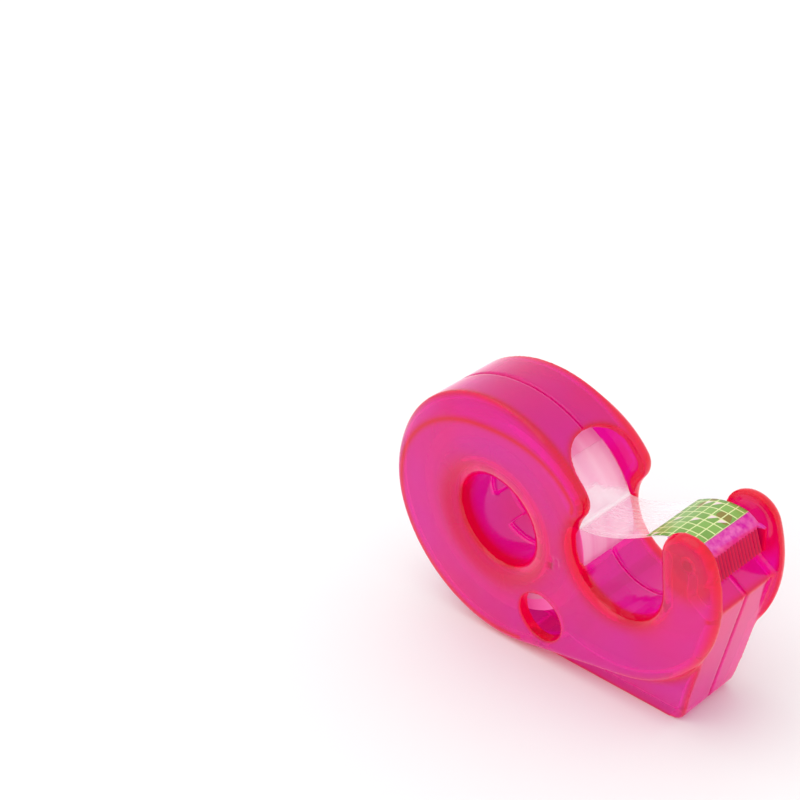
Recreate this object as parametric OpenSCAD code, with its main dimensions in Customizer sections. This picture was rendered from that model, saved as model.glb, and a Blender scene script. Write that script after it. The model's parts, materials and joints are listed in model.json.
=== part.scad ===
// Snail-shaped hand dispenser for a small roll of clear tape. Two moulded half shells meet at mid-width and
// carry the roll on a split hub. A ribbed cutter insert sits between the two ears of the nose, and the loose
// end of the tape lies on it under a starter tab.
// X points to the nose, Y runs across the width, Z is up. The origin is under the middle of the body.

/* [Body] */
// Radius of the drum that houses the roll
drum_r = 28.5; // [27:0.1:36]
// Reach of the nose in front of the roll's axis
nose_reach = 56.3; // [52:0.1:70]
// Radius of the long curve under the nose
nose_r = 29; // [24:0.1:35]
// Height of that curve's centre above the roll's axis
nose_lift = 6; // [2:0.5:10]
// Radius of the round top of each ear
ear_r = 6.2; // [5:0.1:7.6]
// Direction of the ear's centre, seen from the nose curve's centre
ear_angle = 15; // [10:1:22]
// Thickness of each side wall
side_wall = 2.6; // [2.1:0.1:3.2]
// Thickness of the drum, base, front and throat walls
wall = 1.8; // [1.4:0.1:2.2]
// Gap at the joint between the two half shells
parting_gap = 0.1; // [0.05:0.01:0.2]

/* [Edges] */
// Width of the rounding along the outer edge of a side face
edge_round = 2; // [1:0.1:2.4]
// Depth of that rounding
edge_d = 2.2; // [1:0.1:2.4]
// Width of the sloping shoulder at the top of the drum
shoulder_w = 5.4; // [3:0.1:7]
// Rounding where the drum turns into the throat
lip_r = 4.5; // [3:0.1:6]
// Rounding at the foot's front corner
foot_round = 4; // [2.5:0.1:5]
// Step from a side wall's edge down to the walls between
rim_step = 0.05; // [0.02:0.01:0.2]

/* [Throat and mouth] */
// Height of the throat's centre above the roll's axis
throat_lift = 3.6; // [2:0.1:6]
// How far the roll stands out past the throat's rear edge
roll_proud = 0.5; // [0:0.1:1]
// Direction of the top of the mouth, seen from the roll's axis
mouth_top = 55; // [50:0.5:70]
// Corner radius of the mouth's arch
mouth_round = 7.3; // [3:0.1:7.6]

/* [Foot and nose recess] */
// Lean of the front wall from the vertical
front_lean = 17.2; // [12:0.1:22]
// Distance of the front wall's top edge behind the front of the nose
front_inset = 1.2; // [0.6:0.1:2]
// Height of the front wall's top edge above the roll's axis
front_top = 2.5; // [1:0.1:4]
// Slope of the recess floor behind that edge
recess_slope = 36; // [25:1:45]
// Draw-in of each foot flank at the base
foot_taper = 1; // [0:0.1:1.6]
// Height of the tapered part of the foot
foot_taper_h = 9; // [6:0.5:12]
// Drop of the foot below the drum
foot_drop = 0.4; // [0.2:0.1:0.8]
// Where the flat of the foot starts, in front of the roll's axis
foot_start = 6; // [4:0.5:10]

/* [Hub] */
// Outside radius of the hub that carries the core
hub_r = 12.7; // [11.8:0.1:15.4]
// Thickness of the hub tube
hub_wall = 2.6; // [2:0.1:3.2]
// Width of the flare round the hub's mouth
flare_w = 4.7; // [3:0.1:5.6]
// Depth of that flare
flare_d = 2.8; // [2:0.1:3.4]
// Length of the snap fingers past the joint
finger_l = 5; // [3:0.1:6]
// Width of each snap finger, as an angle
finger_angle = 36; // [24:1:50]
// Direction of the first snap finger
finger_turn = 215; // [180:1:230]
// Clearance round each snap finger
finger_gap = 0.3; // [0.2:0.05:0.5]

/* [Side face details] */
// Radius of the hole that shows how much tape is left
window_r = 5.5; // [4:0.1:6.6]
// Distance between that hole and the hub's flare
window_gap = 1; // [0.4:0.1:2]
// Direction of that hole's centre
window_angle = -56; // [-70:1:-45]
// Side of the small square mould mark beside the hub
mark_w = 2.2; // [1.5:0.1:3]
// Depth of that mark
mark_d = 0.4; // [0.2:0.1:0.8]
// Height of the raised lands inside the side walls
land_h = 0.6; // [0.3:0.1:0.9]
// Radius of the land inside each ear
ear_land_r = 4.5; // [3:0.1:5.4]

/* [Roll] */
// Width of the tape
tape_w = 15.24; // [12:0.01:18.3]
// Depth of the wound tape on its core
wound_t = 2.8; // [0.5:0.1:4]
// Depth of the core, from its bore to its outside
core_t = 5.8; // [4:0.1:7]
// Running clearance between the hub and the core
core_gap = 0.1; // [0.03:0.01:0.1]
// How far the core stands out past the tape on each side
core_proud = 0.3; // [0:0.05:0.6]
// Clearance between the core and the land on each side
core_side_gap = 0.08; // [0.05:0.01:0.3]
// Thickness of the core's inner and outer rings
core_ring = 1.3; // [1:0.1:1.6]
// Thickness of the web between the core's rings
core_web = 1.6; // [1:0.1:2.4]
// Number of ribs between the core's rings
core_ribs = 6; // [4:1:8]
// Clearance between the roll and the walls round it
roll_gap = 0.6; // [0.4:0.1:1]
// Clearance beside the tape in the mouth
mouth_gap = 0.2; // [0.1:0.05:0.5]

/* [Strip and tab] */
// Modelled thickness of the single layer of tape
strip_t = 0.3; // [0.2:0.05:0.4]
// Modelled thickness of the starter tab
tab_t = 0.25; // [0.2:0.05:0.4]
// Distance of the tab's rear edge behind the ear's centre
tab_back = 12; // [9:0.1:13]
// Direction where the strip leaves the roll
peel_angle = 16.3; // [10:0.1:22]
// Reach of the strip's bend in front of the roll
peel_reach = 10; // [7:0.5:12]
// Rise of that bend above the point where the strip leaves
peel_rise = 0.8; // [0.4:0.1:1.6]
// Length over which the strip runs straight on behind the platform
strip_lead = 5; // [3:0.5:7]
// Clearance between the strip and the roll
strip_gap = 0.25; // [0.2:0.05:0.4]
// Clearance between the strip and the platform
strip_lift = 0.05; // [0.03:0.01:0.1]

/* [Cutter insert] */
// Radius of the platform's crowned top
crown_r = 14; // [11:0.1:18]
// Height of the crown above the ear's centre
crown_rise = 2.65; // [2:0.05:3.2]
// Distance of the crown behind the ear's centre
crown_back = 2.9; // [2:0.1:3.6]
// Distance from the crown to the platform's rear edge
platform_back = 3.6; // [2.4:0.1:4]
// Distance from the crown to the platform's front edge
platform_front = 3; // [2:0.1:3.6]
// Thickness of the platform
platform_t = 1.9; // [1.4:0.1:2.4]
// Reach of the brow in front of the ear's centre
brow_reach = 2.7; // [2:0.1:3.2]
// Height of the brow above the ear's centre
brow_rise = 0.5; // [0:0.1:1]
// Height of the comb
comb_h = 5.2; // [5:0.1:7.7]
// Lean of the comb from the vertical
comb_lean = 14.5; // [8:0.5:20]
// Number of comb ribs
comb_ribs = 16; // [12:1:20]
// Depth of the grooves between the ribs
rib_d = 0.7; // [0.4:0.05:0.9]
// Thickness of the comb behind the grooves
comb_back = 0.9; // [0.6:0.1:1.2]
// Forward reach of the cheek at each end of the comb
cheek_reach = 1.5; // [1:0.1:2]
// Thickness of each cheek
cheek_t = 0.7; // [0.5:0.1:1]
// Radius of the stiffening bar under the platform
bar_r = 2; // [1.6:0.1:2.4]
// Radius of the pegs that hold the insert
peg_r = 1.4; // [1:0.1:1.5]
// Length of each peg
peg_l = 1.9; // [1.2:0.1:2.2]
// Clearance round each peg
peg_gap = 0.1; // [0.05:0.01:0.2]
// Clearance between the insert and the shells
insert_gap = 0.15; // [0.05:0.05:0.3]

/* [Hidden] */
$fn = 96;
eps = 0.01;
far = 60;
arc_step = 5;
edge_layers = 4;
strip_bends = 12;

// Where the roll's axis stands in the part's frame
axis_at = [-(nose_reach - drum_r) / 2, 0, drum_r + foot_drop];

// The roll, from the hub outwards
core_bore_r = hub_r + core_gap;
core_r = core_bore_r + core_t;
roll_r = core_r + wound_t;
core_half = tape_w / 2 + core_proud;

// Places across the width, on the left side, from the core outwards
joint_y = -parting_gap / 2;
land_y = -core_half - core_side_gap;
inner_y = land_y - land_h;
face_y = inner_y - side_wall;

// Centres of the outline's arcs, from the roll's axis
nose_c = [nose_reach - nose_r, nose_lift];
ear_c = nose_c + (nose_r - ear_r) * [cos(ear_angle), sin(ear_angle)];
throat_x0 = roll_r - roll_proud;
throat_x1 = ear_c.x - ear_r;
throat_r = (throat_x1 - throat_x0) / 2;
throat_c = [throat_x0 + throat_r, throat_lift];
lip_c = circle_meet([0, 0], drum_r - lip_r, throat_c, throat_r + lip_r);
lip_to_throat = heading(throat_c - lip_c);
lip_to_drum = heading(lip_c);
under_turn = heading(nose_c) - acos((drum_r - nose_r) / norm(nose_c));

// Shoulder: widest at this direction, fading out over these angles
shoulder_at = 95;
shoulder_fade = 100;

chamber_r = drum_r - wall;
hub_bore_r = hub_r - hub_wall;
base_z = -drum_r - foot_drop;
front_c = [nose_reach - front_inset, front_top];
front_x = front_c.x - (front_top - base_z) * tan(front_lean);
crown_c = ear_c + [-crown_back, crown_rise - crown_r];
brow = ear_c + [brow_reach, brow_rise];
comb_dir = [sin(comb_lean), -cos(comb_lean)];
recess_x = brow.x - comb_back - rib_d / 2;
recess_z = front_top + (front_c.x - recess_x) * tan(recess_slope);
insert_half = -land_y - insert_gap;
mouth_half = tape_w / 2 + mouth_gap;

function heading(v) = atan2(v.y, v.x);
function polar(r, a) = r * [cos(a), sin(a)];
function reverse(list) = [for (i = [len(list) - 1:-1:0]) list[i]];
function steps(a0, a1, step = arc_step) =
    let (n = max(2, ceil(abs(a1 - a0) / step))) [for (i = [0:n]) a0 + (a1 - a0) * i / n];
function arc(c, r, a0, a1, step = arc_step) = [for (a = steps(a0, a1, step)) c + polar(r, a)];
function bezier(a, b, c, d, n) =
    [for (i = [0:n]) let (t = i / n, s = 1 - t) s^3 * a + 3 * s^2 * t * b + 3 * s * t^2 * c + t^3 * d];

// The upper point where two circles meet
function circle_meet(c0, r0, c1, r1) =
    let (
        d = norm(c1 - c0),
        along = (d^2 + r0^2 - r1^2) / (2 * d),
        up = sqrt(r0^2 - along^2),
        u = (c1 - c0) / d
    ) c0 + along * u + up * [-u.y, u.x];

// Share of the full shoulder at a direction on the drum
function shoulder(a) =
    let (t = a < shoulder_at ? (shoulder_at - a) / (shoulder_at - lip_to_drum) : (a - shoulder_at) / shoulder_fade)
    t > 1 ? 0 : cos(90 * t)^2;

// Inset of the outline at rise t of the edge, from 0 at the face to 1 at full width
function edge_inset(t) = edge_round * (1 - sin(90 * t));
function drum_inset(a, t) =
    let (s = shoulder(a))
    (edge_round + (shoulder_w - edge_round) * s) * ((1 - s) * (1 - sin(90 * t)) + s * cos(90 * t));

// Closed outline of a side wall at rise t of its edge
function outline(t) =
    let (d = edge_inset(t))
    concat(
        [for (a = steps(lip_to_drum, 360 + under_turn)) polar(drum_r - drum_inset(a, t), a)],
        arc(nose_c, nose_r - d, under_turn, ear_angle),
        arc(ear_c, ear_r - d, ear_angle, 180, 3 * arc_step),
        arc(throat_c, throat_r + d, 0, lip_to_throat - 180, 2 * arc_step),
        arc(lip_c, lip_r - d, lip_to_throat, lip_to_drum, 2 * arc_step)
    );

// Upright outline drawn in X and Z, made solid between two places across the width
module across(y0, y1) {
    translate([0, y1, 0]) rotate([90, 0, 0]) linear_extrude(y1 - y0) children();
}

// Round bar across the width
module bar(c, r, y0, y1) {
    translate([c.x, y1, c.y]) rotate([90, 0, 0]) cylinder(r = r, h = y1 - y0);
}

// Side wall, stepped out in thin layers along its rounded edge and the drum's shoulder
module side_plate() {
    for (k = [0:edge_layers - 1])
        across(face_y + layer_depth(k), face_y + layer_depth(k + 1)) polygon(outline(k / edge_layers));
    across(face_y + edge_d, inner_y) polygon(outline(1));
}

function layer_depth(k) = edge_d * (1 - cos(90 * k / edge_layers));

// Open throat between the drum's lip and the ears, grown by d
module throat_space(d) {
    polygon(concat(
        arc(throat_c, throat_r + d, 0, lip_to_throat - 180, 2 * arc_step),
        arc(lip_c, lip_r - d, lip_to_throat, lip_to_drum, 2 * arc_step),
        [[polar(drum_r - d, lip_to_drum).x, far], [throat_x1 + d, far]]
    ));
}

// Foot and nose between the side walls, drawn at an inset d from its outside
module foot_outline(d) {
    corner_r = foot_round - d;
    corner_z = base_z + d + corner_r;
    front = front_c.x - d / cos(front_lean);
    corner_x = front - (front_top - corner_z) * tan(front_lean) - corner_r / cos(front_lean);
    top_z = d > 0 ? far : ear_c.y + crown_rise - platform_t - insert_gap - crown_sag();
    step_z = d > 0 ? far : ear_c.y - bar_r - insert_gap;
    polygon(concat(
        [[0, 0], [0, base_z + foot_start / 2 + d], [foot_start, base_z + d]],
        arc([corner_x, corner_z], corner_r, -90, -front_lean, 2 * arc_step),
        [[front, front_top - d], [recess_x - d, recess_z - d], [recess_x - d, step_z]],
        [[ear_c.x - bar_r - insert_gap - wall, step_z], [ear_c.x - bar_r - insert_gap - wall, top_z]],
        [[throat_x1 + d, top_z], [throat_x1 + d, 0]]
    ));
}

// Drop of the platform's underside from the crown to its rear edge
function crown_sag() = let (r = crown_r - platform_t) r - sqrt(r^2 - platform_back^2);

// Foot's cross section seen from the front, with its flanks drawn in to the base
module foot_section(d) {
    half = -inner_y - d;
    rotate([90, 0, 90]) linear_extrude(far)
        polygon([[-half, far], [-half, base_z + foot_taper_h], [foot_taper - half, base_z - eps],
            [half, base_z - eps], [half, far]]);
}

// Hollow of the shell: the roll's chamber, and the foot below and in front of it
module hollow() {
    difference() {
        union() {
            bar([0, 0], chamber_r, inner_y, 1);
            intersection() {
                across(inner_y, 1) foot_outline(wall);
                union() {
                    foot_section(wall);
                    bar(nose_c, nose_r - wall, inner_y - 1, 2);
                }
            }
        }
        across(inner_y - 1, 2) throat_space(wall);
    }
    bar([0, 0], roll_r + roll_gap, inner_y, 1);
}

// Arched opening in the drum wall where the tape comes out
module mouth() {
    aim = (mouth_top + lip_to_drum) / 2;
    top = drum_r * sin(mouth_top - aim);
    rotate([0, -aim, 0]) translate([roll_r * cos(aim - peel_angle), 0, 0]) rotate([0, 90, 0])
        linear_extrude(far) mirror([1, 0]) mouth_shape(top, -throat_r - mouth_round);
}

module mouth_shape(top, bottom) {
    low = top - mouth_round;
    translate([bottom, -mouth_half]) square([low - bottom, 2 * mouth_half]);
    translate([bottom, mouth_round - mouth_half]) square([top - bottom, 2 * (mouth_half - mouth_round)]);
    for (y = [mouth_round - mouth_half, mouth_half - mouth_round])
        translate([low, y]) circle(mouth_round);
}

// Walls between the two side walls, left half
module cross_walls() {
    difference() {
        union() {
            bar([0, 0], drum_r - rim_step, inner_y, joint_y);
            intersection() {
                across(inner_y, joint_y) foot_outline(0);
                foot_section(0);
            }
        }
        across(inner_y - 1, 1) throat_space(rim_step);
        hollow();
        mouth();
    }
}

// Raised lands on the inside of a side wall: a thrust ring for the core and a pad for the insert
module lands() {
    bar([0, 0], hub_r + core_ring, inner_y - eps, land_y);
    bar(ear_c, ear_land_r, inner_y - eps, land_y);
}

// Sector that spans an angle about the hub, from one place across the width to another
module hub_sector(turn, angle, y0, y1) {
    across(y0, y1) polygon([[0, 0], polar(2 * hub_r, turn - angle / 2), polar(2 * hub_r, turn + angle / 2)]);
}

// Rounded flare at the mouth of the hub
module hub_flare() {
    rim_r = hub_bore_r + flare_w;
    profile = [for (a = [0:10:90]) [rim_r - flare_w * sin(a), -flare_d * (1 - cos(a))]];
    translate([0, face_y, 0]) rotate([90, 0, 0])
        rotate_extrude() polygon(concat([[0, 1], [rim_r, 1]], profile, [[0, -flare_d]]));
}

// One half shell without the details that differ between the sides
module half_shell() {
    difference() {
        union() {
            side_plate();
            cross_walls();
            lands();
            bar([0, 0], hub_r, inner_y - eps, joint_y);
        }
        bar([0, 0], hub_bore_r, face_y - 1, 1);
        hub_flare();
        bar(ear_c, peg_r + peg_gap, land_y - peg_l, 0);
    }
}

// Snap fingers of the left hub, or the slots for them in the right hub when grown by gap
module fingers(gap) {
    grow = asin(gap / hub_r);
    for (turn = [0, 180])
        hub_sector(finger_turn + turn, finger_angle + 2 * grow, joint_y - parting_gap, finger_l + gap);
}

module left_shell() {
    window_c = polar(hub_bore_r + flare_w + window_gap + window_r, window_angle);
    mark_c = [hub_bore_r + flare_w + mark_w, -mark_w * 3 / 4];
    color("deeppink") translate(axis_at) {
        difference() {
            half_shell();
            bar(window_c, window_r, face_y - 1, inner_y + 1);
            across(face_y - 1, face_y + mark_d)
                translate(mark_c - [mark_w, mark_w] / 2) square(mark_w);
        }
        bar(mark_c, mark_w / 4, face_y + mark_d / 4, face_y + 2 * mark_d);
        intersection() {
            difference() {
                bar([0, 0], hub_r, joint_y - parting_gap, finger_l);
                bar([0, 0], hub_bore_r, joint_y - 1, finger_l + 1);
            }
            fingers(0);
        }
    }
}

module right_shell() {
    color("hotpink") translate(axis_at)
        difference() {
            mirror([0, 1, 0]) half_shell();
            fingers(finger_gap);
        }
}

// Cross section of the insert: crowned platform, sloping brow and the back of the comb
module insert_section() {
    rear = 90 + asin(platform_back / crown_r);
    front = 90 - asin(platform_front / crown_r);
    comb_foot = brow + (comb_h - comb_back - rib_d) * comb_dir;
    inward = [comb_dir.y, -comb_dir.x];
    groove = rib_d * inward;
    back = (rib_d + comb_back) * inward;
    polygon(concat(
        arc(crown_c, crown_r, rear, front, arc_step / 2),
        [brow, brow + groove, comb_foot + groove, comb_foot + back],
        [brow + back + bar_r / 2 * comb_dir, ear_c + [0, -bar_r / 2]],
        arc(crown_c, crown_r - platform_t, front, rear, arc_step / 2)
    ));
}

// Ribbed face of the comb, with its lower end cut back to leave pointed teeth
module comb() {
    pitch = 2 * (insert_half - cheek_t) / comb_ribs;
    edge = -insert_half + cheek_t;
    crests = [for (i = [0:comb_ribs - 1]) each [[rib_d, edge + i * pitch], [0, edge + (i + 0.5) * pitch]]];
    translate([brow.x, 0, brow.y]) rotate([0, 180 - comb_lean, 0])
        difference() {
            linear_extrude(comb_h)
                polygon(concat(crests, [[rib_d, -edge], [rib_d + comb_back, -edge], [rib_d + comb_back, edge]]));
            translate([0, -insert_half, comb_h]) rotate([0, -45, 0]) translate([-1, 0, 0])
                cube([far, 2 * insert_half, far]);
        }
}

// Wedge-shaped cheeks that close the comb at both ends
module cheeks() {
    foot = brow + comb_h * comb_dir;
    for (side = [-1, 1])
        across(side * (insert_half - cheek_t / 2) - cheek_t / 2, side * (insert_half - cheek_t / 2) + cheek_t / 2)
            polygon([brow + [-comb_back, 0], brow + [0, brow_rise], brow + [cheek_reach, 0], foot, foot - [rib_d, 0]]);
}

module cutter_insert() {
    color("crimson") translate(axis_at) {
        across(-insert_half, insert_half) insert_section();
        comb();
        cheeks();
        bar(ear_c, bar_r, -insert_half, insert_half);
        bar(ear_c, peg_r, -insert_half - peg_l + insert_gap, insert_half + peg_l - insert_gap);
    }
}

module tape_core() {
    color("mistyrose") translate(axis_at)
        difference() {
            bar([0, 0], core_r, -core_half, core_half);
            bar([0, 0], core_bore_r, -core_half - 1, core_half + 1);
            for (side = [-1, 1], i = [0:core_ribs - 1])
                translate([0, side * (core_half + core_web / 2) / 2, 0])
                    rotate([0, 360 * i / core_ribs, 0]) core_pocket(core_half - core_web / 2 + eps);
        }
}

// One pocket between two ribs of the core
module core_pocket(depth) {
    half_turn = 180 / core_ribs;
    inner = core_bore_r + core_ring;
    outer = core_r - core_ring;
    trim = asin(core_ring / 2 / inner);
    across(-depth / 2, depth / 2) difference() {
        circle(outer);
        circle(inner);
        rotate(half_turn - trim) translate([-far, 0]) square([2 * far, far]);
        rotate(trim - half_turn) translate([-far, -far]) square([2 * far, far]);
        translate([-far, -far]) square([far, 2 * far]);
    }
}

module tape_roll() {
    color("whitesmoke") translate(axis_at)
        difference() {
            bar([0, 0], roll_r, -tape_w / 2, tape_w / 2);
            bar([0, 0], core_r, -tape_w, tape_w);
        }
}

// Run of the tape from the platform's front edge back to the roll, at height h above the platform
function tape_path(h) =
    let (
        r = crown_r + h,
        rear = 90 + asin(platform_back / crown_r),
        front = 90 - asin(platform_front / crown_r),
        start = crown_c + polar(r, rear),
        lead = [-cos(rear - 90), -sin(rear - 90)],
        peel = polar(roll_r + strip_gap + h, peel_angle),
        hang = bezier(start, start + strip_lead * lead, peel + [peel_reach, peel_rise], peel, strip_bends)
    ) concat(
        arc(crown_c, r, front, rear),
        [for (i = [1:strip_bends]) hang[i]]
    );

function tab_path(h) = [for (p = tape_path(h)) if (p.x > ear_c.x - tab_back) p];

module ribbon(lower, upper) {
    across(-tape_w / 2, tape_w / 2) polygon(concat(lower, reverse(upper)));
}

module tape_strip() {
    color("lavenderblush") translate(axis_at)
        ribbon(tape_path(strip_lift), tape_path(strip_lift + strip_t));
}

module starter_tab() {
    base = strip_lift + strip_t;
    color("yellowgreen") translate(axis_at)
        ribbon(tab_path(base), tab_path(base + tab_t));
}

left_shell();
right_shell();
cutter_insert();
tape_core();
tape_roll();
tape_strip();
starter_tab();
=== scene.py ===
"""Looks of a translucent hand tape dispenser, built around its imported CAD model.

X points to the nose, Y runs across the width, Z is up. Sizes in capitals are millimetres, and places are
taken from the roll's axis. What the frame can tell is read from it, and the design's other values are copied.
"""
import json
import math
import random

import bmesh
import bpy
import numpy as np
from mathutils import Matrix, Vector, noise


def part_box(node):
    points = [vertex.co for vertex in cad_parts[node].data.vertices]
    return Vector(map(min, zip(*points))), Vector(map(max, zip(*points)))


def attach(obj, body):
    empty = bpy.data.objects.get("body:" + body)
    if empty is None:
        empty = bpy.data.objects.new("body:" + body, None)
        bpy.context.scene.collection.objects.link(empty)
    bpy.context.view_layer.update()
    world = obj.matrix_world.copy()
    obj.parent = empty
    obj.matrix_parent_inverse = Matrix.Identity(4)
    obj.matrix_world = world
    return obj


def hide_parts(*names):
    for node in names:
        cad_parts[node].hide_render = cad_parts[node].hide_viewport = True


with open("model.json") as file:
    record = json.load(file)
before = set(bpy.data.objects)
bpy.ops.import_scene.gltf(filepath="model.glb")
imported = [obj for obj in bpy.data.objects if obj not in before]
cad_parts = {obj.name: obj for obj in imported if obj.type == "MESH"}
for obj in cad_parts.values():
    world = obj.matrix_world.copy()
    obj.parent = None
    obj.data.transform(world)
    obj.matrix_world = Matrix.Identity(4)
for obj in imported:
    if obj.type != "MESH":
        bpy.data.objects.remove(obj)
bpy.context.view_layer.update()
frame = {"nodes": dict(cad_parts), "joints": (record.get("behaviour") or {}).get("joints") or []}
MM = 0.001

# The design's sizes, in millimetres, from the roll's axis
NOSE_REACH, NOSE_R, NOSE_LIFT = 56.3, 29.0, 6.0
DRUM_R, EAR_R, EAR_ANGLE = 28.5, 6.2, 15.0
EDGE_ROUND, EDGE_D, SHOULDER_W, LIP_R = 2.0, 2.2, 5.4, 4.5
SHOULDER_AT, SHOULDER_FADE = 95.0, 100.0
SIDE_WALL, WALL = 2.6, 1.8
THROAT_LIFT, ROLL_PROUD = 3.6, 0.5
MOUTH_TOP, MOUTH_ROUND, MOUTH_HALF = 55.0, 7.3, 7.82
HUB_R, HUB_BORE_R, FLARE_D = 12.7, 10.1, 2.8
WINDOW_R, WINDOW_REACH, WINDOW_ANGLE = 5.5, 21.3, -56.0
CROWN_R, CROWN_RISE, CROWN_BACK, PLATFORM_BACK, PLATFORM_FRONT = 14.0, 2.65, 2.9, 3.6, 3.0
FRONT_INSET, FRONT_TOP, FRONT_LEAN = 1.2, 2.5, 17.2
PEEL_ANGLE, PEEL_REACH, PEEL_RISE, STRIP_LEAD, STRIP_GAP = 16.3, 10.0, 0.8, 5.0, 0.25
TAB_BACK, TAPE_W = 12.0, 15.24
BROW_REACH, BROW_RISE, COMB_LEAN, RIB_D, COMB_HALF = 2.7, 0.5, 14.5, 0.7, 7.15

# What the frame says
AXIS = Vector(next(j for j in frame["joints"] if j["name"] == "roll_spin")["pos_m"]) / MM
FACE_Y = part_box("left_shell")[0].y / MM
INNER_Y = FACE_Y + SIDE_WALL
ROLL_R = (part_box("tape_roll")[1].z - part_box("tape_roll")[0].z) / MM / 2
CORE_R = (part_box("tape_core")[1].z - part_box("tape_core")[0].z) / MM / 2
BASE_Z = -AXIS.z


def polar(r, degrees):
    a = math.radians(degrees)
    return np.array([r * math.cos(a), r * math.sin(a)])


def heading(v):
    return math.degrees(math.atan2(v[1], v[0]))


def circle_meet(c0, r0, c1, r1):
    """The upper point where two circles meet."""
    d = np.linalg.norm(c1 - c0)
    along = (d * d + r0 * r0 - r1 * r1) / (2 * d)
    up = math.sqrt(r0 * r0 - along * along)
    u = (c1 - c0) / d
    return c0 + along * u + up * np.array([-u[1], u[0]])


NOSE_C = np.array([NOSE_REACH - NOSE_R, NOSE_LIFT])
EAR_C = NOSE_C + polar(NOSE_R - EAR_R, EAR_ANGLE)
THROAT_X = (ROLL_R - ROLL_PROUD, EAR_C[0] - EAR_R)
THROAT_R = (THROAT_X[1] - THROAT_X[0]) / 2
THROAT_C = np.array([THROAT_X[0] + THROAT_R, THROAT_LIFT])
LIP_C = circle_meet(np.zeros(2), DRUM_R - LIP_R, THROAT_C, THROAT_R + LIP_R)
LIP_TO_THROAT = heading(THROAT_C - LIP_C)
LIP_TO_DRUM = heading(LIP_C)
UNDER_TURN = heading(NOSE_C) - math.degrees(math.acos((DRUM_R - NOSE_R) / np.linalg.norm(NOSE_C)))
FRONT_C = np.array([NOSE_REACH - FRONT_INSET, FRONT_TOP])
CROWN_C = EAR_C + np.array([-CROWN_BACK, CROWN_RISE - CROWN_R])
BROW = EAR_C + np.array([BROW_REACH, BROW_RISE])
WINDOW_C = polar(WINDOW_REACH, WINDOW_ANGLE)
MARK_C = polar(HUB_R + 3.2, -11)
MARK_HALF, MARK_FADE, MARK_DEPTH = 0.45, 0.25, 0.3


# ---------------------------------------------------------------- camera, floor and light
def make_camera():
    """Looks down on the near side from the nose, as the photograph does."""
    right = Vector((0.6864, 0.7217, -0.0891)).normalized()
    forward = Vector((-0.6552, 0.5606, -0.5065))
    # Millimetres from the roll's axis, and along Y from the near face
    place = Vector((219.6, -208.6 + FACE_Y, 208.8)) + Vector((AXIS.x, 0, AXIS.z))
    focal_px, image_px, sensor_mm = 1819, 800, 36
    forward = (forward - right * forward.dot(right)).normalized()
    up = right.cross(forward)
    camera = bpy.data.objects.new("camera", bpy.data.cameras.new("camera"))
    bpy.context.scene.collection.objects.link(camera)
    camera.matrix_world = Matrix((
        (right.x, up.x, -forward.x, place.x * MM),
        (right.y, up.y, -forward.y, place.y * MM),
        (right.z, up.z, -forward.z, place.z * MM),
        (0, 0, 0, 1),
    ))
    camera.data.sensor_width = sensor_mm
    camera.data.lens = focal_px / image_px * sensor_mm
    camera.data.clip_start = 0.01
    bpy.context.scene.camera = camera


def area_light(name, place, aim, size, watts):
    light = bpy.data.lights.new(name, "AREA")
    light.shape = "DISK"
    light.size = size
    light.energy = watts
    ob = bpy.data.objects.new(name, light)
    bpy.context.scene.collection.objects.link(ob)
    ob.location = place
    ob.rotation_euler = (Vector(aim) - Vector(place)).to_track_quat("-Z", "Y").to_euler()


def make_studio():
    world = bpy.data.worlds.new("studio")
    world.use_nodes = True
    world.node_tree.nodes["Background"].inputs["Color"].default_value = (1, 1, 1, 1)
    world.node_tree.nodes["Background"].inputs["Strength"].default_value = 1.0
    bpy.context.scene.world = world
    bpy.context.scene.view_settings.view_transform = "Standard"
    area_light("softbox", (-0.30, -0.25, 1.0), (0, 0, 0.02), 1.2, 2.5)
    bpy.ops.mesh.primitive_plane_add(size=6)
    floor = bpy.context.object
    floor.name = "floor"
    mat, _ = new_material("floor", (0.93, 0.93, 0.93), 0.7)
    floor.data.materials.append(mat)


# ---------------------------------------------------------------- materials
def new_material(name, colour, roughness):
    mat = bpy.data.materials.new(name)
    mat.use_nodes = True
    bsdf = mat.node_tree.nodes["Principled BSDF"]
    bsdf.inputs["Base Color"].default_value = (*colour, 1)
    bsdf.inputs["Roughness"].default_value = roughness
    return mat, bsdf


def link(mat, a, b):
    mat.node_tree.links.new(a, b)


def node(mat, kind, **values):
    made = mat.node_tree.nodes.new(kind)
    for key, value in values.items():
        if key in made.inputs:
            made.inputs[key].default_value = value
        else:
            setattr(made, key, value)
    return made


def noise_node(mat, scale, detail=3.0, stretch=(1, 1, 1)):
    where = node(mat, "ShaderNodeTexCoord")
    mapping = node(mat, "ShaderNodeMapping")
    mapping.inputs["Scale"].default_value = stretch
    made = node(mat, "ShaderNodeTexNoise", Scale=scale, Detail=detail)
    link(mat, where.outputs["Object"], mapping.inputs["Vector"])
    link(mat, mapping.outputs["Vector"], made.inputs["Vector"])
    return made


def ramp(mat, factor, stops):
    made = node(mat, "ShaderNodeValToRGB")
    line = made.color_ramp
    while len(line.elements) < len(stops):
        line.elements.new(0.5)
    for element, (at, colour) in zip(line.elements, stops):
        element.position = at
        element.color = (*colour, 1)
    link(mat, factor, made.inputs["Fac"])
    return made


def bump(mat, bsdf, height, strength, distance):
    made = node(mat, "ShaderNodeBump", Strength=strength, Distance=distance)
    link(mat, height, made.inputs["Height"])
    link(mat, made.outputs["Normal"], bsdf.inputs["Normal"])


def mix_colour(mat, factor, a, b):
    made = node(mat, "ShaderNodeMix", data_type="RGBA")
    link(mat, factor, made.inputs["Factor"])
    for socket, value in ((made.inputs[6], a), (made.inputs[7], b)):
        if isinstance(value, tuple):
            socket.default_value = (*value, 1)
        else:
            link(mat, value, socket)
    return made.outputs[2]


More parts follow.
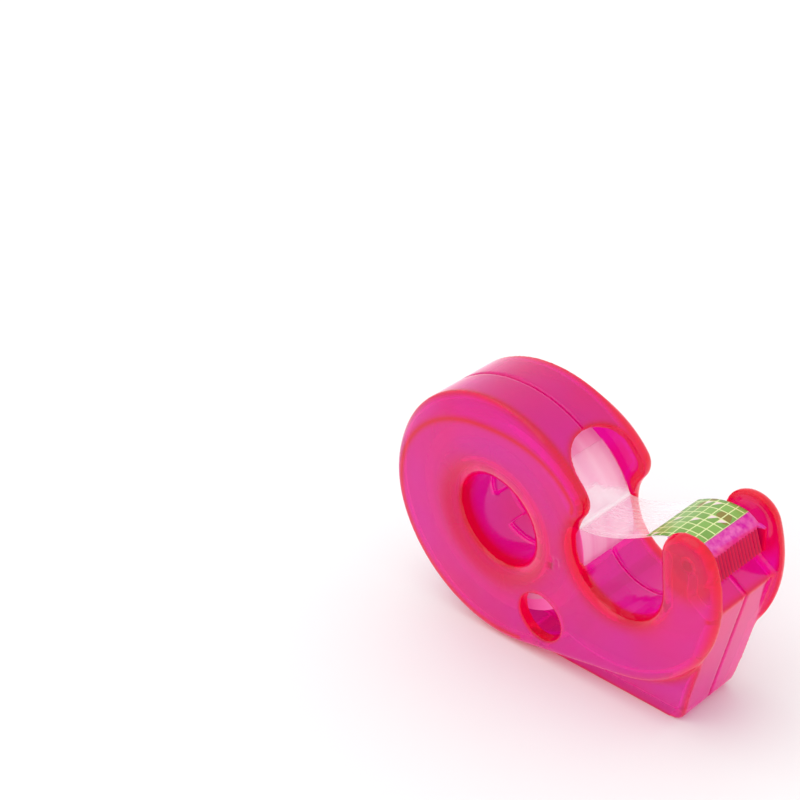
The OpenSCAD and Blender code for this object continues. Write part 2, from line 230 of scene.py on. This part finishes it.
def shell_material(name, body, deep, edge, dark, clear, cloud_scale):
    """Fluorescent plastic: a red-orange painted glow where light gathers along its edges, dark in its seams,
    and darker still where shade is painted.
    """
    mat, bsdf = new_material(name, body, 0.09)
    glow = node(mat, "ShaderNodeAttribute", attribute_name="glow")
    cloud = noise_node(mat, cloud_scale, 2)
    soft = ramp(mat, cloud.outputs["Fac"], [(0.35, body), (0.7, deep)])
    lit = mix_colour(mat, glow.outputs["Fac"], soft.outputs["Color"], edge)
    shade = node(mat, "ShaderNodeAttribute", attribute_name="shade")
    colour = mix_colour(mat, shade.outputs["Fac"], lit, dark)
    link(mat, colour, bsdf.inputs["Base Color"])
    # The colour is also given off as light, a painted glow that also throws pink light onto the floor
    link(mat, colour, bsdf.inputs["Emission Color"])
    bsdf.inputs["Emission Strength"].default_value = 0.36
    bsdf.inputs["Transmission Weight"].default_value = clear
    bsdf.inputs["IOR"].default_value = 1.49
    bsdf.inputs["Specular IOR Level"].default_value = 0.06
    flow = noise_node(mat, 110, 0)
    bump(mat, bsdf, flow.outputs["Fac"], 0.04, 0.0001)
    return mat


# ---------------------------------------------------------------- the side wall's outline
def steps(a0, a1, step):
    return np.linspace(a0, a1, max(2, math.ceil(abs(a1 - a0) / step)) + 1)


def arc(c, r, a0, a1, step):
    a = np.radians(steps(a0, a1, step))
    return np.stack([c[0] + r * np.cos(a), c[1] + r * np.sin(a)], 1)


def shoulder(a):
    """Share of the full shoulder at a direction on the drum."""
    rising = (SHOULDER_AT - a) / (SHOULDER_AT - LIP_TO_DRUM)
    falling = (a - SHOULDER_AT) / SHOULDER_FADE
    t = np.where(a < SHOULDER_AT, rising, falling)
    return np.where(t > 1, 0, np.cos(np.radians(90 * np.clip(t, 0, 1))) ** 2)


def outline(t, extra=0.0):
    """Outline at rise t of the edge, from 0 at the face to 1 at full width, and each point's stretch."""
    rise, fall = math.sin(math.pi / 2 * t), math.cos(math.pi / 2 * t)
    d = EDGE_ROUND * (1 - rise) + extra
    a = steps(LIP_TO_DRUM, 360 + UNDER_TURN, 1.5)
    s = shoulder(a)
    inset = (EDGE_ROUND + (SHOULDER_W - EDGE_ROUND) * s) * ((1 - s) * (1 - rise) + s * fall) + extra
    r = DRUM_R - inset
    straight = np.linspace(0, 1, 22)[1:-1, None]
    under = polar(1, UNDER_TURN)
    begin, end = (DRUM_R - d) * under, NOSE_C + (NOSE_R - d) * under
    parts = [
        np.stack([r * np.cos(np.radians(a)), r * np.sin(np.radians(a))], 1),
        begin + (end - begin) * straight,
        arc(NOSE_C, NOSE_R - d, UNDER_TURN, EAR_ANGLE, 1.5),
        arc(EAR_C, EAR_R - d, EAR_ANGLE, 180, 5),
    ]
    top, low = EAR_C - (EAR_R - d, 0), THROAT_C + (THROAT_R + d, 0)
    parts += [
        top + (low - top) * np.linspace(0, 1, 10)[1:-1, None],
        arc(THROAT_C, THROAT_R + d, 0, LIP_TO_THROAT - 180, 3),
        arc(LIP_C, LIP_R - d, LIP_TO_THROAT, LIP_TO_DRUM, 5)[:-1],
    ]
    kinds = np.repeat(["drum", "under", "nose", "ear", "ear", "throat", "lip"], [len(p) for p in parts])
    return np.concatenate(parts), kinds


def edge_band(side):
    """Closed ring with the side wall's true rounded edge, which the remesh joins to the shell."""
    band_w, ring_count = 0.7, 13
    rises = np.linspace(0, 1, ring_count)
    rings = [(outline(t)[0], EDGE_D * (1 - math.cos(math.pi / 2 * t))) for t in rises]
    inner = outline(0, band_w)[0]
    rings += [(outline(1)[0], SIDE_WALL), (inner, SIDE_WALL), (inner, 0.0)]
    n = len(inner)
    verts = [(x, side * (-FACE_Y - depth), z) for ring, depth in rings for x, z in ring]
    faces = []
    for k in range(len(rings)):
        a, b = k * n, (k + 1) % len(rings) * n
        faces += [(a + i, a + (i + 1) % n, b + (i + 1) % n, b + i) for i in range(n)]
    return verts, faces


# ---------------------------------------------------------------- meshes
def to_frame(points):
    """Millimetres from the roll's axis to the frame's metres."""
    return [((p[0] + AXIS.x) * MM, p[1] * MM, (p[2] + AXIS.z) * MM) for p in points]


def new_object(name, verts, faces):
    mesh = bpy.data.meshes.new(name)
    mesh.from_pydata([tuple(v) for v in verts], [], faces)
    mesh.validate()
    ob = bpy.data.objects.new(name, mesh)
    bpy.context.scene.collection.objects.link(ob)
    fix_normals(ob)
    mesh.polygons.foreach_set("use_smooth", [True] * len(mesh.polygons))
    return ob


def fix_normals(ob):
    bm = bmesh.new()
    bm.from_mesh(ob.data)
    bmesh.ops.recalc_face_normals(bm, faces=bm.faces)
    bm.to_mesh(ob.data)
    bm.free()


def cad_copy(name, source):
    """A welded copy of a CAD node's mesh, in a new object."""
    mesh = frame["nodes"][source].data.copy()
    mesh.materials.clear()
    ob = bpy.data.objects.new(name, mesh)
    bpy.context.scene.collection.objects.link(ob)
    bm = bmesh.new()
    bm.from_mesh(mesh)
    bmesh.ops.remove_doubles(bm, verts=bm.verts, dist=2e-6)
    bm.to_mesh(mesh)
    bm.free()
    return ob


def apply_modifiers(ob):
    depsgraph = bpy.context.evaluated_depsgraph_get()
    mesh = bpy.data.meshes.new_from_object(ob.evaluated_get(depsgraph))
    ob.modifiers.clear()
    ob.data = mesh


def coordinates(ob):
    co = np.empty(len(ob.data.vertices) * 3, np.float32)
    ob.data.vertices.foreach_get("co", co)
    return co.reshape(-1, 3).astype(float)


def set_coordinates(ob, co):
    ob.data.vertices.foreach_set("co", co.astype(np.float32).ravel())
    ob.data.update()


def paint(ob, name, values):
    """Give each point of a mesh a number that a material reads by name."""
    attribute = ob.data.attributes.new(name, "FLOAT", "POINT")
    attribute.data.foreach_set("value", values.astype(np.float32))


def painted(ob, name):
    """The numbers that paint gave a mesh."""
    values = np.empty(len(ob.data.vertices), np.float32)
    ob.data.attributes[name].data.foreach_get("value", values)
    return values.astype(float)


def finish_piece(ob, body, slot, material, *nodes):
    ob.data.materials.clear()
    ob.data.materials.append(material)
    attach(ob, body)
    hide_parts(*nodes)


# ---------------------------------------------------------------- shells
def bell(distance, width):
    return np.exp(-((distance / width) ** 2))


def nearest(points, line):
    """Distance from each point to the closest of the line's points, and which it is."""
    best = np.full(len(points), 1e9)
    which = np.zeros(len(points), int)
    batch = 20000
    for start in range(0, len(points), batch):
        part = points[start:start + batch]
        d = ((part[:, None, :] - line[None, :, :]) ** 2).sum(2)
        which[start:start + batch] = d.argmin(1)
        best[start:start + batch] = np.sqrt(d.min(1))
    return best, which


def from_axis(ob):
    """The mesh's points in millimetres from the roll's axis."""
    return coordinates(ob) / MM - np.array(AXIS)


# How far the glow reaches in from the rim on each stretch of it
RIM_REACH = {"drum": 0.9, "under": 1.0, "nose": 1.3, "ear": 2.4, "throat": 2.4, "lip": 1.6}
FAR = 9.0


def rim_glow(xz, depth):
    """Along the side wall's rim, along the line where the drum's shoulder ends, and over the ear."""
    line_w, line_depth, ear_lit_r, ear_fade = 0.75, 0.9, 5.5, 2.6
    rim, kinds = outline(1)
    rim_d, at = nearest(xz, rim)
    glow = bell(rim_d, np.array([RIM_REACH[kind] for kind in kinds])[at])
    a = np.degrees(np.arctan2(xz[:, 1], xz[:, 0])) % 360
    inset = EDGE_ROUND + (SHOULDER_W - EDGE_ROUND) * shoulder(np.where(a < LIP_TO_DRUM, LIP_TO_DRUM, a))
    on_drum = np.isin(kinds[at], ["drum", "lip"])
    glow = np.maximum(glow, np.where(on_drum, bell(rim_d - inset, line_w) * bell(depth, line_depth), 0))
    ear_d = np.linalg.norm(xz - EAR_C, axis=1)
    return np.maximum(glow, 0.8 * bell(np.maximum(ear_d - ear_lit_r, 0), ear_fade))


def hub_glow(xz, depth):
    """A soft halo on the face and a clear ring where the flare meets the bore."""
    r = np.linalg.norm(xz, axis=1)
    halo_r, halo_w, halo_depth, ring_w, ring_depth = 12.5, 3.0, 4.0, 0.8, 2.4
    halo = 0.7 * bell(r - halo_r, halo_w) * bell(depth, halo_depth)
    ring = bell(r - HUB_BORE_R, ring_w) * bell(depth - FLARE_D, ring_depth)
    return np.minimum(halo + ring, 1)


def mouth_glow(p, xz):
    """Along the edge of the mouth in the drum's wall, a rectangle with rounded corners seen along its aim."""
    aim = (MOUTH_TOP + LIP_TO_DRUM) / 2
    along, rise = xz @ polar(1, aim), xz @ polar(1, aim + 90)
    top = DRUM_R * math.sin(math.radians(MOUTH_TOP - aim))
    across = np.abs(p[:, 1])
    corner = np.maximum(np.stack([across - MOUTH_HALF, rise - top], 1) + MOUTH_ROUND, 0)
    edge_d = np.abs(np.linalg.norm(corner, axis=1) - MOUTH_ROUND)
    nearest_along, lowest, edge_w = 18, -10, 0.8
    near_mouth = (along > nearest_along) & (rise > lowest) & (across < -INNER_Y)
    return bell(np.where(near_mouth, edge_d, FAR), edge_w)


def foot_glow(p, xz):
    """Along the recess's front edge and the foot's corners, and faintly over the foot and its front wall."""
    top_in, top_w, corner_w, sole_h, front_w = 0.3, 0.9, 1.1, 5.5, 1.6
    foot_x, taper_h = 5.0, 9.0
    x, z, across = xz[:, 0], xz[:, 1], np.abs(p[:, 1])
    glow = 0.95 * bell(np.hypot(x - FRONT_C[0] + top_in, z - FRONT_C[1] + top_in), top_w)
    front_x = FRONT_C[0] - (FRONT_TOP - z) * math.tan(math.radians(FRONT_LEAN))
    front_d = np.abs(x - front_x)
    half = -INNER_Y - np.clip((BASE_Z + taper_h - z) / taper_h, 0, 1)
    on_foot, below_edge = x > foot_x, z < FRONT_TOP
    corner_d = np.where(below_edge, np.hypot(front_d, across - half), FAR)
    sole_d = np.where(on_foot, np.hypot(z - BASE_Z, across - half), FAR)
    glow = np.maximum(glow, 0.9 * bell(np.minimum(corner_d, sole_d), corner_w))
    foot = bell(z - BASE_Z, sole_h) * on_foot
    front = bell(front_d, front_w) * below_edge * (across < -INNER_Y)
    return np.maximum(glow, 0.3 * np.maximum(foot, front))


def edge_glow(p, side):
    """How far light gathers at each point of a shell, from 0 on plain walls to 1 on its brightest edges."""
    wall_fade, window_w = 0.8, 0.5
    xz = p[:, [0, 2]]
    depth = -FACE_Y - side * p[:, 1]
    side_wall = bell(np.maximum(depth - SIDE_WALL, 0), wall_fade)
    glow = np.maximum(rim_glow(xz, depth) * side_wall, hub_glow(xz, depth))
    if side < 0:
        window_d = np.abs(np.linalg.norm(xz - WINDOW_C, axis=1) - WINDOW_R)
        glow = np.maximum(glow, bell(window_d, window_w) * side_wall)
    glow = np.maximum(glow, mouth_glow(p, xz))
    return np.clip(np.maximum(glow, foot_glow(p, xz)), 0, 1)


def from_mark(p):
    """Distance from the middle of the square mark beside the hub, as the larger of the two along X and Z."""
    return np.abs(p[:, [0, 2]] - MARK_C).max(axis=1)


def seam_and_painted_shade(p, side):
    """Where a shell shows darker: its dark parting line, and painted shade on the drum's wall, over the boss
    behind the ear and in the sunk mark by the hub.
    """
    seam_w, boss_r, boss_fade, pin_w, boss_depth, mark_depth = 0.28, 2.4, 0.5, 0.7, 1.5, 0.8
    xz = p[:, [0, 2]]
    depth = -FACE_Y - side * p[:, 1]
    r = np.linalg.norm(xz, axis=1)
    shade = np.where(r > ROLL_R + 2, 0.8 * bell(p[:, 1], seam_w), 0)
    # Painted shade over the drum's wall between the side walls
    from_drum = np.abs(r - DRUM_R + WALL / 2)
    drum_wall = (from_drum < WALL / 2 + 0.3) & (np.abs(p[:, 1]) < -INNER_Y)
    shade = np.maximum(shade, 0.22 * drum_wall)
    # Painted shade over the boss behind the ear and the pin at its middle
    ear_d = np.linalg.norm(xz - EAR_C, axis=1)
    boss = 0.35 * bell(np.maximum(ear_d - boss_r, 0), boss_fade) + 0.25 * bell(ear_d, pin_w)
    shade = np.maximum(shade, boss * bell(depth, boss_depth))
    # Painted shade in the sunk mark by the hub, on the near shell
    if side < 0:
        mark = 0.8 * bell(np.maximum(from_mark(p) - MARK_HALF - 0.05, 0), MARK_FADE) * bell(depth, mark_depth)
        shade = np.maximum(shade, mark)
    return np.clip(shade, 0, 1)


def press_mark(ob):
    """Sink the small square mark into the near face."""
    co = coordinates(ob)
    p = from_axis(ob)
    near_face = p[:, 1] < FACE_Y + 0.5
    sink = MARK_DEPTH * bell(np.maximum(from_mark(p) - MARK_HALF, 0), MARK_FADE)
    co[:, 1] += np.where(near_face, sink, 0) * MM
    set_coordinates(ob, co)


def make_shell(source, body, side, material):
    """The CAD shell with its true rounded edge, joined and smoothed."""
    verts, faces = edge_band(side)
    ob = cad_copy(source + "_moulding", source)
    band = new_object("band", to_frame(verts), faces)
    bm = bmesh.new()
    bm.from_mesh(ob.data)
    bm.from_mesh(band.data)
    bm.to_mesh(ob.data)
    bm.free()
    bpy.data.objects.remove(band)
    voxel, quick_voxel = 0.38, 0.6
    remesh = ob.modifiers.new("remesh", "REMESH")
    remesh.mode = "VOXEL"
    remesh.voxel_size = voxel * MM
    remesh.use_smooth_shade = True
    relax = ob.modifiers.new("relax", "SMOOTH")
    relax.factor = 0.5
    relax.iterations = 4
    apply_modifiers(ob)
    p = from_axis(ob)
    paint(ob, "glow", edge_glow(p, side))
    paint(ob, "shade", seam_and_painted_shade(p, side))
    if side < 0:
        press_mark(ob)
    finish_piece(ob, body, "shell_plastic", material, source)


# ---------------------------------------------------------------- tape
def bezier(a, b, c, d, n):
    t = np.linspace(0, 1, n)[:, None]
    return (1 - t) ** 3 * a + 3 * (1 - t) ** 2 * t * b + 3 * (1 - t) * t ** 2 * c + t ** 3 * d


def tape_path(height, on_roll, n=44):
    """The tape from the platform's front edge back to the roll, then on_roll degrees up round it."""
    r = CROWN_R + height
    rear = 90 + math.degrees(math.asin(PLATFORM_BACK / CROWN_R))
    front = 90 - math.degrees(math.asin(PLATFORM_FRONT / CROWN_R))
    start = CROWN_C + polar(r, rear)
    lead = -polar(1, rear - 90)
    touch = ROLL_R + STRIP_GAP / 4 + height
    peel = polar(touch, PEEL_ANGLE)
    free = bezier(start, start + STRIP_LEAD * lead, peel + (PEEL_REACH, PEEL_RISE), peel, n)
    bend = bezier(free[-3], peel, peel, polar(touch, PEEL_ANGLE + 2), 7)
    stretches = [arc(CROWN_C, r, front, rear, 1.5), free[1:-3], bend]
    if on_roll:
        stretches.append(arc((0, 0), touch, PEEL_ANGLE + 3, PEEL_ANGLE + on_roll, 1.5))
    return np.concatenate(stretches)


def ribbon(name, path, half, across, thickness, lift):
    """Thin closed sheet along a path. lift(s, v) is its rise off it at length s and place v from -1 to 1."""
    length = np.concatenate([[0], np.cumsum(np.linalg.norm(np.diff(path, axis=0), axis=1))])
    ahead = np.gradient(path, axis=0)
    normal = np.stack([ahead[:, 1], -ahead[:, 0]], 1) / np.linalg.norm(ahead, axis=1)[:, None]
    v = np.linspace(-1, 1, across)
    rows = []
    for at, point, up in zip(length, path, normal):
        rise = lift(at, v)
        rows.append([(point[0] + up[0] * r, half * y, point[1] + up[1] * r) for y, r in zip(v, rise)])
    verts = [p for row in rows for p in row]
    faces = [(i * across + j, i * across + j + 1, (i + 1) * across + j + 1, (i + 1) * across + j)
             for i in range(len(path) - 1) for j in range(across - 1)]
    ob = new_object(name, to_frame(verts), faces)
    paint(ob, "along", np.repeat(length, across))
    paint(ob, "wide", np.tile(half * v, len(path)))
    solid = ob.modifiers.new("thickness", "SOLIDIFY")
    solid.thickness = thickness * MM
    solid.offset = 1
    apply_modifiers(ob)
    return ob


def film_material():
    """Clear film, whiter where it is creased or lifted, with painted highlights along its creases and rims
    and a faint painted glow.
    """
    mat, bsdf = new_material("clear_film", (0.98, 0.95, 0.97), 0.12)
    # A faint painted glow, standing in for light that the shells keep from the film
    bsdf.inputs["Emission Color"].default_value = (1.0, 0.80, 0.90, 1)
    bsdf.inputs["Emission Strength"].default_value = 0.1
    milky_and_highlit = node(mat, "ShaderNodeAttribute", attribute_name="milky_and_highlit")
    alpha = ramp(mat, milky_and_highlit.outputs["Fac"], [(0, (0.16,) * 3), (0.5, (0.42,) * 3), (1, (0.9,) * 3)])
    link(mat, alpha.outputs["Color"], bsdf.inputs["Alpha"])
    return mat


def make_film(material):
    """Free end of the tape: creased between the roll and the platform, and clinging to the roll above."""
    on_roll, streak_count, rise_off, thickness = 34, 22, 0.05, 0.05
    draw = random.Random(7)
    streaks = [(draw.uniform(-0.95, 0.95), draw.uniform(0.02, 0.05), draw.uniform(-0.10, 0.14),
                draw.uniform(0.2, 0.8)) for _ in range(streak_count)]
    path = tape_path(rise_off, on_roll)
    total = np.linalg.norm(np.diff(path, axis=0), axis=1).sum()
    roll_start = total - math.radians(on_roll) * ROLL_R
    flat_end = CROWN_R * math.asin(PLATFORM_FRONT / CROWN_R) + CROWN_R * math.asin(PLATFORM_BACK / CROWN_R)

    def free(at):
        """1 in the middle of the free run, 0 on the platform and on the roll."""
        t = np.clip((at - flat_end) / (roll_start - flat_end), 0, 1)
        return math.sin(math.pi * t) ** 0.7 if 0 < t < 1 else 0.0

    def drifted(middle, fan, at):
        """Where a streak runs across the width: it drifts to the middle on its way to the roll."""
        return middle * (1 - 0.35 * fan * np.clip((at - flat_end) / total, 0, 1))

    def lift(at, v):
        rise = np.zeros(len(v))
        for middle, width, height, fan in streaks:
            rise += height * bell(v - drifted(middle, fan, at), width)
        sag = -0.55 * np.clip(-v - 0.35, 0, 1) ** 1.5 - 0.25 * np.clip(v - 0.5, 0, 1)
        return free(at) * (rise + sag)

    ob = ribbon("tape_film", path, TAPE_W / 2, 121, thickness, lift)
    at = painted(ob, "along")
    v = painted(ob, "wide") / (TAPE_W / 2)
    rough = np.array([noise.noise((a * 0.35, b * 2.6, 3)) for a, b in zip(at, v)])
    folds = np.array([noise.noise((a * 0.16 + b * 1.1, b * 1.3, 9)) for a, b in zip(at, v)])
    # On the roll it shows milky up to a ragged slanting line
    past = (at - roll_start) / math.radians(on_roll) / ROLL_R
    edge = 0.16 + 0.62 * (1 - v) / 2 + 0.16 * rough
    milky = np.clip((edge - past) / 0.10, 0, 1) * np.clip(0.56 + 0.75 * folds, 0.2, 0.85)
    # On the free run it is clear, with white lines along its creases, which are partly real whitening and
    # partly painted highlight, and bright rims, which are painted highlights
    lines = np.zeros(len(at))
    for middle, width, height, fan in streaks:
        lines = np.maximum(lines, abs(height) * 4.5 * bell(v - drifted(middle, fan, at), width * 0.4))
    rims = 0.35 * bell(np.abs(v) - 1, 0.025)
    clear = np.maximum(np.maximum(lines, 0.16 + 0.16 * rough), rims)
    value = np.where(at > roll_start, milky, np.where(at > flat_end, clear, 0.1))
    # A whiter band along the crease where the film leaves the roll, partly the crease's own whitening and
    # partly painted highlight
    crease = bell(at - roll_start - 0.3, 0.75)
    paint(ob, "milky_and_highlit", np.clip(np.maximum(value, crease), 0, 1))
    finish_piece(ob, "left_half", "clear_film", material, "tape_strip")


def maths(mat, operation, a, b=0.0):
    made = node(mat, "ShaderNodeMath", operation=operation)
    for socket, value in ((made.inputs[0], a), (made.inputs[1], b)):
        if isinstance(value, (int, float)):
            socket.default_value = value
        else:
            link(mat, value, socket)
    return made.outputs[0]


def tab_material():
    """Green film with a slightly wavy pale grid, a few pale triangles and a few olive patches."""
    mat, bsdf = new_material("printed_tab", (0.2, 0.36, 0.05), 0.28)
    cell = 2.18
    wobble = noise_node(mat, 260, 1)
    shift = maths(mat, "MULTIPLY", maths(mat, "SUBTRACT", wobble.outputs["Fac"], 0.5), 0.35)
    places = []
    for name in ("along", "wide"):
        where = node(mat, "ShaderNodeAttribute", attribute_name=name)
        places.append(maths(mat, "DIVIDE", maths(mat, "ADD", where.outputs["Fac"], shift), cell))
    cells = [maths(mat, "FLOOR", p) for p in places]
    inside = [maths(mat, "FRACT", p) for p in places]
    near = [maths(mat, "ABSOLUTE", maths(mat, "SUBTRACT", f, 0.5)) for f in inside]
    line = maths(mat, "GREATER_THAN", maths(mat, "MAXIMUM", near[0], near[1]), 0.44)
    key = node(mat, "ShaderNodeCombineXYZ")
    link(mat, cells[0], key.inputs[0])
    link(mat, cells[1], key.inputs[1])
    chance = node(mat, "ShaderNodeTexWhiteNoise", noise_dimensions="2D")
    link(mat, key.outputs[0], chance.inputs["Vector"])
    corner = maths(mat, "GREATER_THAN", maths(mat, "ADD", inside[0], inside[1]), 1.28)
    pale = maths(mat, "MULTIPLY", corner, maths(mat, "GREATER_THAN", chance.outputs["Value"], 0.86))
    tone = ramp(mat, chance.outputs["Value"],
                [(0.0, (0.15, 0.33, 0.04)), (0.45, (0.24, 0.46, 0.08)), (0.8, (0.17, 0.36, 0.05))])
    patches = noise_node(mat, 120, 1)
    olive = maths(mat, "GREATER_THAN", patches.outputs["Fac"], 0.66)
    patchy = mix_colour(mat, olive, tone.outputs["Color"], (0.24, 0.19, 0.02))
    colour = mix_colour(mat, pale, patchy, (0.85, 0.66, 0.68))
    colour = mix_colour(mat, line, colour, (0.72, 0.80, 0.36))
    link(mat, colour, bsdf.inputs["Base Color"])
    bump(mat, bsdf, line, 0.2, 0.00005)
    return mat


def make_tab(material):
    """The starter tab on the tape's end, slightly wavy where it leaves the platform."""
    rise_off, thickness = 0.12, 0.12
    path = tape_path(rise_off, 0)
    path = path[path[:, 0] > EAR_C[0] - TAB_BACK]

    def lift(at, v):
        return 0.04 * np.sin(3.1 * v + 0.5 * at) * min(1.0, at / 8)

    ob = ribbon("grid_tab", path, TAPE_W / 2, 31, thickness, lift)
    finish_piece(ob, "left_half", "printed_tab", material, "starter_tab")


def turned(name, profile, count):
    """Closed body of revolution about the roll's axis. The profile is a loop of (radius, y)."""
    turns = [(math.cos(t), math.sin(t)) for t in np.linspace(0, 2 * math.pi, count, endpoint=False)]
    n = len(profile)
    verts = [(r * c, y, r * s) for c, s in turns for r, y in profile]
    faces = [(k * n + i, k * n + (i + 1) % n, (k + 1) % count * n + (i + 1) % n, (k + 1) % count * n + i)
             for k in range(count) for i in range(n)]
    return new_object(name, to_frame(verts), faces)


def make_roll(material):
    """Wound tape, with its layers' edges as fine ridges on both flanks."""
    ridges, crest, groove, corner = 14, 0.03, 0.09, 0.3
    half = TAPE_W / 2
    radii = np.linspace(CORE_R + 0.02, ROLL_R, 2 * ridges + 1)
    ridged = [(r, half - (crest if i % 2 else groove)) for i, r in enumerate(radii)]
    profile = ridged + [(ROLL_R, y) for y in np.linspace(half - corner, corner - half, 9)]
    profile += [(r, -y) for r, y in reversed(ridged)]
    ob = turned("wound_tape", profile, 144)
    outside = np.abs(coordinates(ob)[:, 1]) / MM < half - 0.2
    paint(ob, "flank", np.where(outside, 0, 1))
    finish_piece(ob, "roll", "wound_tape", material, "tape_roll")


def wound_material():
    """Wound film: streaked round the outside, deeper pink on its flanks."""
    mat, bsdf = new_material("wound_tape", (0.9, 0.6, 0.75), 0.2)
    streak = noise_node(mat, 60, 3, (0.12, 5, 0.12))
    outer = ramp(mat, streak.outputs["Fac"], [(0.3, (0.86, 0.34, 0.62)), (0.72, (0.97, 0.72, 0.86))])
    flank = node(mat, "ShaderNodeAttribute", attribute_name="flank")
    colour = mix_colour(mat, flank.outputs["Fac"], outer.outputs["Color"], (0.93, 0.16, 0.50))
    link(mat, colour, bsdf.inputs["Base Color"])
    # The colour is also given off as a painted glow, standing in for light that the shells keep from the roll
    link(mat, colour, bsdf.inputs["Emission Color"])
    bsdf.inputs["Emission Strength"].default_value = 0.16
    bsdf.inputs["Transmission Weight"].default_value = 0.3
    bsdf.inputs["IOR"].default_value = 1.45
    bump(mat, bsdf, streak.outputs["Fac"], 0.15, 0.0002)
    return mat


def core_material():
    """Milky clear plastic, tinted by the pink light inside the shells."""
    mat, bsdf = new_material("core_plastic", (0.93, 0.86, 0.9), 0.25)
    cloud = noise_node(mat, 70, 3)
    colour = ramp(mat, cloud.outputs["Fac"], [(0.35, (0.88, 0.34, 0.58)), (0.7, (0.96, 0.50, 0.70))])
    link(mat, colour.outputs["Color"], bsdf.inputs["Base Color"])
    # The colour is also given off as a faint painted glow
    link(mat, colour.outputs["Color"], bsdf.inputs["Emission Color"])
    bsdf.inputs["Emission Strength"].default_value = 0.1
    bsdf.inputs["Transmission Weight"].default_value = 0.5
    bump(mat, bsdf, cloud.outputs["Fac"], 0.1, 0.0002)
    return mat


def bevelled(name, source, width):
    """A copy of a CAD node with its sharp edges broken."""
    ob = cad_copy(name, source)
    bm = bmesh.new()
    bm.from_mesh(ob.data)
    bmesh.ops.dissolve_limit(bm, angle_limit=math.radians(1), verts=bm.verts, edges=bm.edges)
    bm.to_mesh(ob.data)
    bm.free()
    bevel = ob.modifiers.new("bevel", "BEVEL")
    bevel.width = width * MM
    bevel.segments = 2
    bevel.limit_method = "ANGLE"
    bevel.angle_limit = math.radians(35)
    apply_modifiers(ob)
    ob.data.polygons.foreach_set("use_smooth", [True] * len(ob.data.polygons))
    ob.data.set_sharp_from_angle(angle=math.radians(50))
    return ob


def make_insert(material):
    """The cutter, cut twice below its brow so that the painted glow on the ribs and the painted shade in
    their grooves start there and not at the platform.
    """
    ob = bevelled("cutter", "cutter_insert", 0.09)
    down, out = polar(1, COMB_LEAN - 90), polar(1, COMB_LEAN)
    fade = (0.15, 0.45)
    bm = bmesh.new()
    bm.from_mesh(ob.data)
    for drop in fade:
        at = (BROW + drop * down + (AXIS.x, AXIS.z)) * MM
        everything = bm.verts[:] + bm.edges[:] + bm.faces[:]
        plane = {"plane_co": (at[0], 0, at[1]), "plane_no": (down[0], 0, down[1])}
        bmesh.ops.bisect_plane(bm, geom=everything, **plane)
    bm.to_mesh(ob.data)
    bm.free()
    p = from_axis(ob)
    from_brow = p[:, [0, 2]] - BROW
    below, deep = from_brow @ down, -(from_brow @ out)
    # Painted glow on the ribs' crests and a painted highlight along the brow, with painted shade in the
    # grooves between the ribs
    crest_glow = bell(np.maximum(deep - RIB_D, 0), 0.1) * np.clip((below - fade[0]) / (fade[1] - fade[0]), 0, 1)
    groove_shade = np.clip((deep - 0.15) / (RIB_D - 0.25), 0, 1) * (np.abs(p[:, 1]) < COMB_HALF)
    paint(ob, "glow", np.maximum(crest_glow, 0.7 * bell(np.hypot(below, deep), 0.4)))
    paint(ob, "shade", crest_glow * groove_shade)
    finish_piece(ob, "left_half", "insert_plastic", material, "cutter_insert")


def make_core(material):
    ob = bevelled("roll_core", "tape_core", 0.15)
    finish_piece(ob, "roll", "core_plastic", material, "tape_core")


# ---------------------------------------------------------------- the object
make_camera()
make_studio()
# Magenta, purple and the brow's pinks are the plastic's own tones; the reds are painted glow on edges and rib
# crests, and the darkest reds colour painted shade and, on the shells, the dark parting line
MAGENTA, PURPLE = (0.56, 0.002, 0.215), (0.53, 0.004, 0.31)
EDGE_GLOW_RED, SEAM_AND_SHADE_CRIMSON = (0.54, 0.0, 0.016), (0.30, 0.0, 0.035)
BROW_PINK, BROW_PALE = (0.52, 0.02, 0.33), (0.66, 0.15, 0.44)
RIB_GLOW_RED, GROOVE_SHADE_RED = (0.66, 0.0, 0.05), (0.22, 0.0, 0.05)
pink = shell_material("fluorescent_pink_plastic", MAGENTA, PURPLE, EDGE_GLOW_RED, SEAM_AND_SHADE_CRIMSON, 0.78, 45)
insert_pink = shell_material("cutter_plastic", BROW_PINK, BROW_PALE, RIB_GLOW_RED, GROOVE_SHADE_RED, 0.4, 700)
make_shell("left_shell", "left_half", -1, pink)
make_shell("right_shell", "right_half", 1, pink)
make_insert(insert_pink)
make_core(core_material())
make_roll(wound_material())
make_film(film_material())
make_tab(tab_material())
